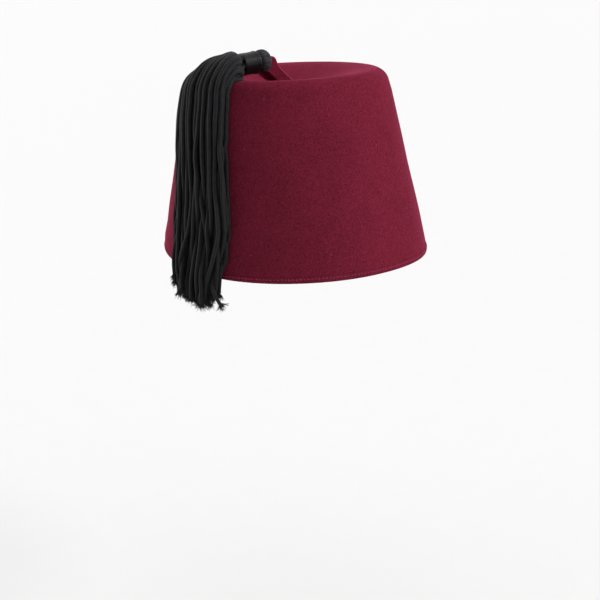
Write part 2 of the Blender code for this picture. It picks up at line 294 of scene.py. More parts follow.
def profile(rim, tip, place, inset):
    """(radius, height) on the felt at an inset under its outer face, for arrays of places.

    The place is -1 at the tip's centre, 0 at the crest, 1 at the top of the wall, 2 at the rim, and past 2
    straight down below the rim.
    """
    wall_top, corner_radius, corner_height = corner_start(rim, tip)
    share = np.clip(1 + place, 0, 1)
    fall = 1 - share**2
    dish = (
        share * corner_radius,
        CROWN_HEIGHT - DISH_DEPTH * fall**2,
        math.pi / 2 + np.arctan(4 * DISH_DEPTH * fall * share / corner_radius),
    )
    lean = wall_lean(rim, tip, CROWN_HEIGHT)
    turn = math.pi / 2 - np.clip(place, 0, 1) * (math.pi / 2 - lean)
    corner = (
        corner_radius + CORNER_RADIUS * np.cos(turn),
        corner_height + CORNER_RADIUS * np.sin(turn),
        turn,
    )
    height = wall_top * (2 - place)
    on_wall = np.maximum(height, 0)
    wall = (wall_radius(rim, tip, on_wall), height, wall_lean(rim, tip, on_wall))
    radius, height, normal = (
        np.where(place < 0, a, np.where(place <= 1, b, c)) for a, b, c in zip(dish, corner, wall)
    )
    return radius - inset * np.cos(normal), height - inset * np.sin(normal)


def on_felt(turn, place, inset=0.0):
    """Points on the crown. The turn is 0 over -X and grows towards the front."""
    turn, place, inset = np.broadcast_arrays(*(np.asarray(v, float) for v in (turn, place, inset)))
    across, across_height = profile(RIM_HALF_WIDTH, TIP_HALF_WIDTH, place, inset)
    along, along_height = profile(RIM_HALF_LENGTH, TIP_HALF_LENGTH, place, inset)
    cos, sin = np.cos(turn), np.sin(turn)
    return np.stack(
        (-across * cos, -along * sin, across_height * cos**2 + along_height * sin**2), axis=-1
    )


WALL_TOP = corner_start(RIM_HALF_WIDTH, TIP_HALF_WIDTH)[0]


def wall_place(height):
    return 2 - height / WALL_TOP


def swell(point):
    """How far blocked felt swells out at a point."""
    broad = noise.noise(Vector(point) * 22.0)
    small = noise.noise(Vector(point) * 75.0 + Vector((3.1, 0.4, 7.7)))
    return 0.32 * MM * broad + 0.10 * MM * small


def uneven(point):
    """A point of the crown moved by the slight unevenness of blocked felt, and of its rim."""
    outwards = Vector((point[0], point[1], 0.25 * point[2])).normalized()
    wave = RIM_WAVE * noise.noise(Vector((point[0] * 14, point[1] * 14, 2.0)))
    low = max(0.0, 1 - point[2] / RIM_WAVE_REACH)
    return point + np.array(outwards * swell(point)) + np.array((0.0, 0.0, wave * low))


def bell(value, middle, width):
    """1 at the middle, falling softly to 0 on both sides."""
    return np.exp(-(((value - middle) / width) ** 2))


def soft_step(value):
    """0 to 1 with a soft start and end."""
    share = np.clip(value, 0, 1)
    return share * share * (3 - 2 * share)


def settle(points):
    """Moves the crown's points to where the felt has set."""
    radius = np.maximum(np.hypot(points[:, 0], points[:, 1]), 1 * MM)
    side = points[:, :2] @ SET_TOWARDS / radius
    height = points[:, 2]
    dip = RIM_DIP * np.sign(side) * side**4 * np.clip(1 - height / DIP_REACH, 0, 1.1)
    out = np.interp(height, SET_HEIGHTS, SET_OUT) * np.clip(side, 0, 1) ** 2
    out += np.interp(height, FAR_HEIGHTS, FAR_OUT) * np.clip(-side, 0, 1) ** 6
    out = out * np.clip(radius / TIP_HALF_LENGTH, 0, 1) ** 4
    out += dip * (RIM_HALF_WIDTH - TIP_HALF_WIDTH) / CROWN_HEIGHT
    moved = points.copy()
    moved[:, :2] *= (1 + out / radius)[:, None]
    moved[:, 2] -= dip
    return moved


def rim_edge(degrees):
    """(place, inset) round the rim's edge: 0 on the outside, 90 at its middle, 180 on the inside."""
    angle = math.radians(degrees)
    return wall_place(EDGE_ROUND * (1 - math.sin(angle))), FELT_THICKNESS / 2 * (1 - math.cos(angle))


def crown_levels():
    """(place, inset) from the middle of the rim's edge up the outside and down the inside again.

    The second result is the number of levels on the outside.
    """
    fine = np.arange(EDGE_ROUND, 5.2 * MM, 0.25 * MM)
    wall = np.linspace(5.4 * MM, WALL_TOP, 84)[:-1]
    outer = [wall_place(height) for height in (*fine, *wall)]
    outer += [1 - step / 14 for step in range(15)]
    outer += [-step / 34 for step in range(1, 34)]
    levels = [rim_edge(degrees) for degrees in (90, 72, 54, 36, 18)]
    for place in outer:
        height = (2 - place) * WALL_TOP
        inset = SEAM_GROOVE * bell(height, STITCH_HEIGHT + SEAM_GROOVE_OVER, SEAM_GROOVE_WIDTH)
        inset -= HEM_SWELL * bell(height, HEM_SWELL_HEIGHT, HEM_SWELL_WIDTH)
        levels.append((place, inset))
    turning = len(levels)
    inner = [-1 + step / 16 for step in range(1, 17)]
    inner += [step / 7 for step in range(1, 8)]
    inner += [wall_place(height) for height in np.linspace(WALL_TOP, EDGE_ROUND, 40)[1:]]
    levels += [(place, FELT_THICKNESS) for place in inner]
    levels += [rim_edge(degrees) for degrees in (162, 144, 126, 108)]
    return levels, turning


def make_crown(material, sides=240):
    levels, turning = crown_levels()
    turns = 2 * math.pi * np.arange(sides) / sides
    points, faces = [], []
    for place, inset in levels:
        points.extend(uneven(point) for point in on_felt(turns, place, inset))
    tops = []
    for inset in (0.0, FELT_THICKNESS):
        tops.append(len(points))
        points.append(on_felt(0.0, -1.0, inset))
    points = settle(np.array(points))
    count = len(levels)
    for number in range(count):
        after = (number + 1) % count
        low, high = number * sides, after * sides
        for side in range(sides):
            beside = (side + 1) % sides
            if number == turning - 1:
                faces.append((low + side, low + beside, tops[0]))
                faces.append((high + beside, high + side, tops[1]))
            else:
                faces.append((low + side, low + beside, high + beside, high + side))
    return build("felt_crown", points, faces, material)


def make_stitches(material):
    """One row of short stitches round the rim, in the groove that they pull."""
    dense = np.linspace(0, 2 * math.pi, 4001)
    line = on_felt(dense, wall_place(STITCH_HEIGHT))
    steps = np.linalg.norm(np.diff(line, axis=0), axis=1)
    along = np.concatenate(([0.0], np.cumsum(steps)))
    count = round(along[-1] / STITCH_PITCH)
    pitch = along[-1] / count
    places = np.linspace(-0.5, 0.5, 6)
    lift = np.array((-0.34, 0.0, 0.10, 0.10, 0.0, -0.34)) * MM
    radii = np.array((0.20, 0.33, 0.37, 0.37, 0.33, 0.20)) * MM
    soup = Soup()
    for number in range(count):
        middle = (number + 0.5 + 0.06 * RNG.standard_normal()) * pitch
        length = STITCH_LENGTH * (1 + 0.07 * RNG.standard_normal())
        tilt = 0.10 * MM * RNG.standard_normal()
        turns = np.interp(middle + places * length, along, dense)
        heights = STITCH_HEIGHT + 0.05 * MM * RNG.standard_normal() + tilt * places
        path = on_felt(turns, wall_place(heights), -lift)
        soup.tube(settle(np.array([uneven(point) for point in path])), radii, 6)
    return soup.build("rim_stitches", material)


# The tassel's head


def from_heading(out, aside, up):
    """Points from their distance along the heading, to the front of it, and above the crest."""
    cos, sin = math.cos(HEADING), math.sin(HEADING)
    out, aside, up = np.broadcast_arrays(*(np.asarray(v, float) for v in (out, aside, up)))
    return np.stack((-out * cos + aside * sin, -out * sin - aside * cos, CROWN_HEIGHT + up), axis=-1)


def around_head(distance, radius, angle):
    """Points round the head's axis. The angle is 0 to the front and 90 degrees on top."""
    out = HEAD_START + distance * math.cos(HEAD_SLOPE)
    up = HEAD_RISE - distance * math.sin(HEAD_SLOPE)
    lift = radius * np.sin(angle)
    return from_heading(
        out + lift * math.sin(HEAD_SLOPE), radius * np.cos(angle), up + lift * math.cos(HEAD_SLOPE)
    )


def foot_height(width):
    """Height over the crest where the strap's feet meet the dish."""
    crest = corner_start(RIM_HALF_LENGTH, TIP_HALF_LENGTH)[1]
    from_middle = abs(width) + 4 * MM
    fall = 1 - (from_middle / crest) ** 2
    return -DISH_DEPTH * fall * fall - 0.1 * MM


def strap_route(steps):
    """The strap's middle line, from the front foot over the fold to the rear foot.

    Columns are the distance up its slope from the bulb's middle, and the distance aside.
    """
    length = (HEAD_RISE + DISH_DEPTH) / math.sin(STRAP_SLOPE)
    legs = np.linspace(1, 0, steps)
    front = [(-share * length, FOLD_RADIUS + 0.35 * MM * math.sin(math.pi * share)) for share in legs]
    fold = [
        (FOLD_RADIUS * math.sin(turn), FOLD_RADIUS * math.cos(turn))
        for turn in (math.pi * step / 12 for step in range(1, 12))
    ]
    rear = [(-share * length, -FOLD_RADIUS - STRAP_SPREAD * share**7) for share in reversed(legs)]
    return np.array(front + fold + rear)


def strap_section(grow):
    """(up its width, across the thickness) round the strap, with softly rounded edges."""
    half_width = STRAP_WIDTH / 2 + grow
    half_thick = STRAP_THICKNESS / 2 + grow
    corner = STRAP_EDGE_ROUND
    section = []
    for quarter, (x, y) in enumerate(((1, 1), (-1, 1), (-1, -1), (1, -1))):
        for step in range(4):
            angle = math.pi / 2 * (quarter + step / 3)
            section.append(
                (
                    x * (half_width - corner) + corner * math.cos(angle),
                    y * (half_thick - corner) + corner * math.sin(angle),
                )
            )
        if quarter in (0, 2):
            for step in range(1, 8):
                section.append((x * (half_width - corner) * (1 - 2 * step / 8), y * half_thick))
    return section


def strap_mesh(grow=0.0, steps=26):
    """The strap's points, faces and section; to grow is to stand out all round by that much."""
    middle_out = HEAD_START + BULB_LENGTH / 2 * math.cos(HEAD_SLOPE)
    middle_up = HEAD_RISE - BULB_LENGTH / 2 * math.sin(HEAD_SLOPE)
    cos, sin = math.cos(STRAP_SLOPE), math.sin(STRAP_SLOPE)
    length = (HEAD_RISE + DISH_DEPTH) / sin
    route = strap_route(steps)
    section = strap_section(grow)
    points, faces = [], []
    count = len(section)
    for number, spot in enumerate(route):
        before = route[max(number - 1, 0)]
        after = route[min(number + 1, len(route) - 1)]
        forward = (after - before) / np.linalg.norm(after - before)
        normal = np.array((-forward[1], forward[0]))
        down = max(0.0, -spot[0]) if spot[1] < 0 else 0.0
        rear = REAR_SHIFT * min(1.0, down / REAR_SHIFT_START) * (1 - 0.8 * (down / length) ** 2)
        for width, thick in section:
            along, aside = spot + normal * thick
            foot = (foot_height(width) - middle_up - width * cos) / sin
            share = min(1.0, -min(along, 0.0) / length)
            along += (foot + length) * share**2
            if width > 0:
                width *= 1 + FOLD_FLARE * bell(spot[0], -4.5 * MM, 4.0 * MM)
            out = middle_out + along * cos - width * sin + rear
            points.append(from_heading(out, aside, middle_up + along * sin + width * cos))
    for number in range(len(route) - 1):
        low = number * count
        for side in range(count):
            beside = (side + 1) % count
            faces.append((low + count + side, low + count + beside, low + beside, low + side))
    faces.append(tuple(range(count)))
    faces.append(tuple(range(len(points) - 1, len(points) - count - 1, -1)))
    return points, faces, section


def make_strap(felt, edge_highlight_felt):
    points, faces, section = strap_mesh()
    for point in points:
        point += 0.12 * MM * np.array(noise.noise_vector(Vector(point) * 260))
    strap = build("felt_strap", points, faces, felt, edge_highlight_felt)
    # The strap's narrow cut edges get a lighter copy of the felt: a painted highlight along both edges.
    for polygon in strap.data.polygons:
        widths = [abs(section[v % len(section)][0]) for v in polygon.vertices]
        if len(widths) == 4 and min(widths) > STRAP_WIDTH / 2 - 0.6 * MM:
            polygon.material_index = 1
    return strap


def cut_eye(bulb):
    """Cuts out the room that the strap has in the bulb."""
    points, faces, _ = strap_mesh(grow=EYE_ROOM, steps=10)
    room = build("strap_room", points, faces)
    cut = bulb.modifiers.new("strap eye", "BOOLEAN")
    cut.operation = "DIFFERENCE"
    cut.solver = "EXACT"
    cut.object = room
    graph = bpy.context.evaluated_depsgraph_get()
    result = bpy.data.meshes.new_from_object(bulb.evaluated_get(graph))
    bulb.modifiers.clear()
    bulb.data = result
    bpy.data.objects.remove(room)


def make_bulb(material, sides=208, pleats=26):
    """The cords' folded end: a ball drawn together round the strap, opened where the strap runs through."""
    table = np.array(BULB_SECTIONS)
    rows = np.arange(len(table))
    fine = np.linspace(0, len(table) - 1, 44)
    outline = smooth(np.stack([np.interp(fine, rows, column) for column in table.T], axis=1), 3)
    turns = 2 * math.pi * np.arange(sides) / sides
    widths = 1 + 0.28 * RNG.standard_normal(pleats)
    widths = np.clip(widths, 0.55, 1.5)
    edges = np.concatenate(([0.0], np.cumsum(widths))) / widths.sum() * 2 * math.pi
    depths = PLEAT_DEPTH * np.clip(1 + 0.3 * RNG.standard_normal(pleats), 0.5, 1.6)
    points, faces = [], []
    for place, radius in outline:
        swirl = PLEAT_SWIRL * math.sin(place * 3.0)
        angles = (turns + swirl) % (2 * math.pi)
        pleat = np.clip(np.searchsorted(edges, angles, side="right") - 1, 0, pleats - 1)
        share = (angles - edges[pleat]) / (edges[pleat + 1] - edges[pleat])
        groove = (1 - np.sqrt(np.clip(1 - (2 * share - 1) ** 2, 0, 1))) ** 0.8
        fade = min(1.0, radius / 0.5)
        size = radius * BULB_RADIUS - depths[pleat] * groove * fade
        points.extend(around_head(place * BULB_LENGTH, size, turns))
    count = len(outline)
    for number in range(count - 1):
        low = number * sides
        for side in range(sides):
            beside = (side + 1) % sides
            faces.append((low + side, low + sides + side, low + sides + beside, low + beside))
    faces.append(tuple(range(sides)))
    faces.append(tuple(range(count * sides - 1, (count - 1) * sides - 1, -1)))
    bulb = build("tassel_bulb", points, faces, material)
    cut_eye(bulb)
    bulb.data.shade_smooth()
    bulb.data.set_sharp_from_angle(angle=math.radians(60))
    return bulb


def make_windings(material):
    """Thread wound close round the neck, over the collar."""
    table = np.array(COLLAR_SECTIONS)
    start = BULB_LENGTH + CLEARANCE + THREAD_RADIUS
    length = COLLAR_LENGTH - 2 * THREAD_RADIUS
    rounds = length / THREAD_PITCH
    steps = int(rounds * 44)
    shares = np.linspace(0, 1, steps)
    angles = 2 * math.pi * rounds * shares
    spots = np.stack((2 * np.cos(angles), 2 * np.sin(angles), 30 * shares), axis=1)
    wobble = np.array([noise.noise(Vector(spot)) for spot in spots])
    ridge = np.interp(shares, table[:, 0], table[:, 1]) * COLLAR_RIDGE
    radius = NECK_RADIUS + CLEARANCE + COLLAR_WALL + ridge + 0.1 * MM + 0.07 * MM * wobble
    distance = start + shares * length + 0.08 * MM * np.roll(wobble, 7)
    soup = Soup()
    soup.tube(around_head(distance, radius, angles), np.full(steps, THREAD_RADIUS), 6)
    return soup.build("collar_windings", material)


# The tassel's cords


def skirt_at(place):
    table = np.array(SKIRT_SECTIONS)
    middle, width, thick = (np.interp(place, table[:, 0], table[:, column]) for column in (1, 2, 3))
    return np.radians(middle), width * SKIRT_HALF_WIDTH, thick * SKIRT_THICKNESS


def on_skirt(across, place, height):
    """Points at a distance across the skirt and a height above the felt."""
    middle, _, _ = skirt_at(place)
    spot = on_felt(middle, np.minimum(place, 2))
    turn = middle + across / np.hypot(spot[..., 0], spot[..., 1])
    return on_felt(turn, place, -height)


def stations():
    """Places down the skirt at even steps, from the crest to below the longest cord."""
    arc = CORNER_RADIUS * (math.pi / 2 - wall_lean(RIM_HALF_WIDTH, TIP_HALF_WIDTH, CROWN_HEIGHT))
    wall = WALL_TOP / math.cos(WALL_SLOPE)
    distance = np.arange(0, arc + wall + FRINGE_DROP * 1.3, STATION_STEP)
    place = np.where(distance < arc, distance / arc, 1 + (distance - arc) / wall)
    return distance, place


def cord_starts():
    """Each cord's share across the skirt, from -1 at the back to 1 at the front, and its layer."""
    share, layer = [], []
    for number, amount in enumerate(CORD_LAYERS):
        row = (np.arange(amount) + 0.5) / amount * 2 - 1
        share += list(row + 0.35 / amount * RNG.standard_normal(amount))
        layer += [number] * amount
    return np.clip(np.array(share), -0.98, 0.98), np.array(layer)


def cord_ends(share, layer):
    """The place where each cord ends."""
    across = np.linspace(1, -1, len(FRINGE_DROPS))[::-1]
    drop = np.interp(share, across, FRINGE_DROPS[::-1]) * FRINGE_DROP
    drop = drop + 3.2 * MM * RNG.standard_normal(CORDS) - 5.0 * MM * (layer == 0)
    return 2 + np.minimum(drop, FRINGE_DROP * 1.06) / WALL_TOP


def cord_waves(distance, sizes, most):
    """The waves of each cord, with a start, a length and an amount of its own for each size."""
    waves = np.zeros((CORDS, len(distance)))
    for length, size in sizes:
        phase = RNG.uniform(0, 2 * math.pi, CORDS)[:, None]
        stretch = RNG.uniform(0.8, 1.3, CORDS)[:, None]
        amount = size * MM * RNG.uniform(0.4, most, CORDS)[:, None]
        waves += amount * np.sin(2 * math.pi * distance / (length * MM * stretch) + phase)
    return waves


def wanted_across(distance, place, share, layer, looseness):
    """How far across the skirt each cord would lie by itself."""
    _, half_width, _ = skirt_at(place)
    waves = cord_waves(distance, SIDE_WAVES, 1.6) * looseness
    drift = RNG.standard_normal(CORDS)[:, None] * 1.8 * MM
    waves += drift * np.clip((distance / distance[-1] - 0.45) / 0.55, 0, 1) ** 1.5
    waves[layer == 0] *= 0.35
    slim = 1 - np.clip(-share, 0, 1)[:, None] * (0.11 + 0.16 * np.clip(1 - place, 0, 1))
    crowding = np.interp(place, (0.0, 0.6, 1.0, 1.45), (0.30, 0.26, 0.17, 0.0))
    forward = (1 - share**2) * np.clip(0.62 + 0.7 * share, 0, 1.1)
    bundles = np.interp(place, (0.0, 0.5, 1.6, 2.2), (0.0, 0.05, 0.05, 0.02))
    spread = share[:, None] + crowding * forward[:, None]
    spread = spread + bundles * np.sin(BUNDLE_WAVES * math.pi * share + 1.0)[:, None]
    return spread * slim * (half_width - CORD_RADIUS) + waves


def wanted_height(distance, place, share, layer, radius, looseness):
    """The height over the felt at which each cord would lie by itself, and the greatest one it may have."""
    _, _, thickness = skirt_at(place)
    edge = 1 - np.where(share < 0, 0.55, 0.2) * np.abs(share) ** 2.5
    back = np.clip(-share, 0, None)[:, None] * np.clip(1 - place, 0, 1)
    room = np.maximum(thickness - 2.1 * CORD_RADIUS, 0.5 * MM) * (1 - 0.60 * back)
    crest = 2.6 * MM * bell(place, 0.0, 0.55) * soft_step((1 + share) / 0.95)[:, None]
    rise = np.array((0.04, 0.5, 1.0))[layer] * edge + 0.06 * RNG.standard_normal(CORDS)
    ridges = np.interp(place, (0.0, 0.4, 1.5, 2.1), (0.3, 1.0, 1.0, 0.4)) * MM
    height = 0.2 * MM + radius[:, None] + np.clip(rise, 0, 1)[:, None] * (room + crest)
    height = height + ridges * np.cos(BUNDLE_WAVES * math.pi * share + 1.0)[:, None]
    height = height + cord_waves(distance, HEIGHT_WAVES, 1.5) * looseness
    top = (thickness + 1.0 * MM) * edge[:, None] + crest
    return height, np.maximum(top, 2.2 * radius[:, None])


def push_apart(wanted, radius, alive, limit, top):
    """(across, height) of the cords when none lies in another.

    They push each other apart step by step, while they keep near to what they wanted, keep their
    stiffness and stay on the felt.
    """
    across, height = (field.copy() for field in wanted)
    reach = (radius[:, None] + radius[None, :])[:, :, None]
    both = (alive[:, None, :] & alive[None, :, :]) & ~np.eye(CORDS, dtype=bool)[:, :, None]
    for _ in range(PUSH_ROUNDS):
        side = across[:, None, :] - across[None, :, :]
        up = height[:, None, :] - height[None, :, :]
        gap = np.sqrt(side**2 + up**2) + 1e-7
        push = np.where(both, np.clip(reach * 0.97 - gap, 0, None), 0) * 0.22 / gap
        across += (side * push).sum(axis=1)
        height += (up * push).sum(axis=1)
        across += 0.02 * (wanted[0] - across)
        height += 0.03 * (wanted[1] - height)
        for field in (across, height):
            field[:, 1:-1] += 0.22 * (field[:, :-2] + field[:, 2:] - 2 * field[:, 1:-1])
        across = np.clip(across, -limit * 0.91, limit)
        height = np.clip(height, radius[:, None] + 0.12 * MM, top)
    return across, height


def lay_cords():
    """Where each cord lies at each station, in layers and with waves of its own."""
    distance, place = stations()
    share, layer = cord_starts()
    radius = CORD_RADIUS * np.clip(1 + 0.07 * RNG.standard_normal(CORDS), 0.85, 1.16)
    last_place = cord_ends(share, layer)
    down = distance / distance[-1]
    looseness = np.interp(down, (0, 0.25, 0.55, 0.85, 1.0), (0.10, 0.35, 0.95, 1.25, 0.9))
    across = wanted_across(distance, place, share, layer, looseness)
    height, top = wanted_height(distance, place, share, layer, radius, looseness)
    alive = place <= last_place[:, None]
    limit = skirt_at(place)[1] + 0.4 * MM - radius[:, None]
    across, height = push_apart((across, height), radius, alive, limit, top)
    stray = int(np.argmin(np.abs(share - 0.93) + 9.0 * (layer != 2)))
    last_place[stray] = 2 + FRINGE_DROP * 0.98 / WALL_TOP
    kick = np.clip((place - 2.02) / (last_place[stray] - 2.02), 0, 1.2) ** 1.4
    across[stray] += STRAY_KICK * kick
    height[stray] += STRAY_LIFT * kick
    return place, across, height, radius, layer, share, last_place


def neck_spots(layer, share):
    """(aside, up) of each cord in the neck, in the same order as in the skirt, so that none crosses."""
    level = 0.62 * NECK_RADIUS * (layer - 1)
    half = np.sqrt((0.88 * NECK_RADIUS) ** 2 - level**2)
    arch = 0.2 * NECK_RADIUS * (layer - 1) * (1 - share**2)
    return np.stack((share * half, level + arch), axis=1)


def resample(path, step):
    """The path with points at about that step, and their distances along it."""
    lengths = np.concatenate(([0.0], np.cumsum(np.linalg.norm(np.diff(path, axis=0), axis=1))))
    count = max(int(lengths[-1] / step), 4)
    even = np.linspace(0, lengths[-1], count)
    return np.stack([np.interp(even, lengths, path[:, axis]) for axis in range(3)], axis=1), even


def smooth(path, rounds):
    path = path.copy()
    for _ in range(rounds):
        path[1:-1] = (path[:-2] + 2 * path[1:-1] + path[2:]) / 4
    return path


def neck_bend(start, skirt, spring, sag):
    """A cord's way from the neck, which it leaves along the axis and its spring, to the skirt's crest."""
    axis = around_head(1.0, 0.0, 0.0) - around_head(0.0, 0.0, 0.0)
    axis = axis / np.linalg.norm(axis)
    end = skirt[0]
    reach = np.linalg.norm(end - start)
    onwards = (skirt[1] - end) / np.linalg.norm(skirt[1] - end)
    outwards = np.array((end[0], end[1], 0.0)) / math.hypot(end[0], end[1])
    leave = axis * reach + spring
    land = (0.6 * outwards + 0.4 * onwards) * reach
    t = np.linspace(0, 1, 18)[1:-1, None]
    bend = (
        start * (2 * t**3 - 3 * t**2 + 1)
        + leave * (t**3 - 2 * t**2 + t)
        + end * (3 * t**2 - 2 * t**3)
        + land * (t**3 - t**2)
    )
    bend[:, 2] -= sag * np.sin(math.pi * t[:, 0]) ** 1.2
    return bend


def cord_girth(along, radius, number):
    """A cord's radii: thin in the collar, thickest over the crest and slimmer towards its end."""
    girth = NECK_CORD_RADIUS + (radius - NECK_CORD_RADIUS) * soft_step((along - 5 * MM) / (12 * MM))
    girth *= 1.08 - 0.22 * along / along[-1]
    girth *= 1 + 0.025 * np.sin(along / (9 * MM) + number)
    return girth * (1 + 0.22 * bell(along, 29 * MM, 11 * MM))


def cord_paths():
    """The path and the radii of each cord, from inside the collar to its end."""
    place, across, height, radius, layer, share, last_place = lay_cords()
    centre = around_head(NECK_END, 0.0, 0.0)
    sags = CREST_SAG * np.clip((share - 0.35) / 0.65, 0, 1) * np.array((1.0, 0.9, 0.55))[layer]
    paths = []
    for cord, (aside, up) in enumerate(neck_spots(layer, share)):
        last = int(np.searchsorted(place, last_place[cord]))
        last = min(max(last, 4), len(place))
        skirt = on_skirt(across[cord, :last], place[:last], height[cord, :last])
        angle, size = math.atan2(up, aside), math.hypot(aside, up)
        hidden = around_head(NECK_END - NECK_HIDDEN, size, angle)
        start = around_head(NECK_END, size, angle)
        spring = (start - centre) * NECK_SPRING / NECK_RADIUS
        spring[2] = max(spring[2], -2 * MM) * (0.55 if aside < 0 else 1.0)
        bend = neck_bend(start, skirt, spring, sags[cord])
        path, _ = resample(np.concatenate((hidden[None], start[None], bend, skirt)), 1.0 * MM)
        path, along = resample(smooth(path, 10), CORD_STEP)
        paths.append((path, cord_girth(along, radius[cord], cord)))
    return paths


def make_cords(paths, material):
    soup = Soup()
    for number, (path, girth) in enumerate(paths):
        girth = girth.copy()
        girth[-1] *= 0.7
        soup.tube(path, girth, CORD_SIDES, start_angle=number, offset=number * 0.013)
    core = [around_head(NECK_END + step * MM, 0.0, 0.0) for step in (-3.0, 0.0, 1.5, 3.0, 4.5)]
    soup.tube(core, np.array((5.2, 5.2, 4.9, 3.9, 2.0)) * MM, 24)
    return soup.build("tassel_cords", material)


def make_frays(paths, material):
    """The cords' cut ends: the plies open into small brushes."""
    soup = Soup()
    t = np.linspace(0, 1, 5)[:, None]
    radii = np.array((0.24, 0.22, 0.19, 0.15, 0.08)) * MM
    for path, girth in paths:
        end = path[-1]
        forward = path[-1] - path[-3]
        forward /= np.linalg.norm(forward)
        normal = np.cross(forward, (0.3, 0.9, 0.1))
        normal /= np.linalg.norm(normal)
        side = np.cross(forward, normal)
        for strand in range(FRAY_STRANDS):
            angle = 2 * math.pi * (strand + RNG.uniform(0, 0.7)) / FRAY_STRANDS * 2.4
            ring = girth[-1] * RNG.uniform(0.15, 0.95)
            outwards = math.cos(angle) * normal + math.sin(angle) * side
            splay = math.radians(RNG.uniform(10, 78)) * (0.4 + ring / girth[-1])
            length = RNG.uniform(1.5, 3.9) * MM
            curl = RNG.normal(0, 0.9, 3)
            root = end - forward * 1.2 * MM + outwards * ring
            aim = forward * math.cos(splay) + outwards * math.sin(splay)
            line = root + forward * MM * t + length * (aim * t + 0.25 * curl * t**2)
            soup.tube(line, radii, 4)
    return soup.build("tassel_frays", material)


# Materials


class Nodes:
    """Shorthand for building the node tree of a new material or world."""

    def __init__(self, owner):
        owner.use_nodes = True
        self.owner = owner
        self.tree = owner.node_tree

    def fill(self, node, inputs):
        for name, value in inputs.items():
            if isinstance(value, bpy.types.NodeSocket):
                self.tree.links.new(value, node.inputs[name])
            else:
                node.inputs[name].default_value = value

    def add(self, kind, inputs=None, **settings):
        node = self.tree.nodes.new(kind)
        for name, value in settings.items():
            setattr(node, name, value)
        self.fill(node, inputs or {})
        return node

    def noise(self, vector, scale, detail=4.0, roughness=0.6, distortion=0.0):
        inputs = {
            "Vector": vector,
            "Scale": scale,
            "Detail": detail,
            "Roughness": roughness,
            "Distortion": distortion,
        }
        return self.add("ShaderNodeTexNoise", inputs).outputs["Fac"]

    def math(self, operation, first, second=0.0, third=None):
        inputs = {0: first, 1: second}
        if third is not None:
            inputs[2] = third
        return self.add("ShaderNodeMath", inputs, operation=operation).outputs[0]

    def ramp(self, value, low, high):
        """The value spread from low to high onto 0 to 1."""
        inputs = {"Value": value, "From Min": low, "From Max": high}
        return self.add("ShaderNodeMapRange", inputs, clamp=True).outputs["Result"]

    def mix(self, factor, first, second):
        inputs = {0: factor, 6: first, 7: second}
        return self.add("ShaderNodeMix", inputs, data_type="RGBA").outputs[2]

    def bump(self, height, strength, distance, normal=None):
        inputs = {"Height": height, "Strength": strength, "Distance": distance}
        if normal is not None:
            inputs["Normal"] = normal
        return self.add("ShaderNodeBump", inputs).outputs["Normal"]

    def principled(self, **inputs):
        """The material, with these inputs of its shader."""
        named = {name.replace("_", " "): value for name, value in inputs.items()}
        self.fill(self.tree.nodes["Principled BSDF"], named)
        return self.owner


def material_nodes(name):
    return Nodes(bpy.data.materials.new(name))


def srgb(code):
    """The linear colour of a six-digit sRGB code."""
    parts = [int(code[i : i + 2], 16) / 255 for i in (0, 2, 4)]
    return (*(c / 12.92 if c <= 0.04045 else ((c + 0.055) / 1.055) ** 2.4 for c in parts), 1.0)


def felt_material(name, dark, light, lint=True):
    nodes = material_nodes(name)
    place = nodes.add("ShaderNodeTexCoord").outputs["Object"]
    cloud = nodes.noise(place, 38.0, 3.0, 0.55)
    patch = nodes.noise(place, 330.0, 3.0, 0.65, 0.4)
    nap = nodes.noise(place, 1050.0, 4.0, 0.75, 0.6)
    fibre = nodes.noise(place, 2600.0, 3.0, 0.7, 1.5)
    tone = nodes.math("MULTIPLY", cloud, 0.12)
    tone = nodes.math("MULTIPLY_ADD", patch, 0.15, tone)
    tone = nodes.math("MULTIPLY_ADD", nap, 0.73, tone)
    tone = nodes.ramp(tone, 0.37, 0.63)
    colour = nodes.mix(tone, srgb(dark), srgb(light))
    if lint:
        cells = nodes.add("ShaderNodeTexVoronoi", {"Vector": place, "Scale": 150.0}, feature="F1")
        near = nodes.ramp(cells.outputs["Distance"], 0.05, 0.02)
        parts = nodes.add("ShaderNodeSeparateColor", {"Color": cells.outputs["Color"]})
        rare = nodes.math("GREATER_THAN", parts.outputs["Red"], 0.80)
        speck = nodes.math("MULTIPLY", near, rare)
        colour = nodes.mix(nodes.math("MULTIPLY", speck, 0.45), colour, srgb("c08a9a"))
    relief = nodes.math("MULTIPLY_ADD", nap, 0.7, nodes.math("MULTIPLY", fibre, 0.3))
    coarse = nodes.bump(patch, 0.16, 0.5 * MM)
    normal = nodes.bump(relief, 0.8, 0.34 * MM, coarse)
    return nodes.principled(
        Base_Color=colour,
        Roughness=0.92,
        Specular_IOR_Level=0.01,
        Sheen_Weight=0.60,
        Sheen_Roughness=0.20,
        Sheen_Tint=srgb("e0608f"),
        Normal=normal,
    )


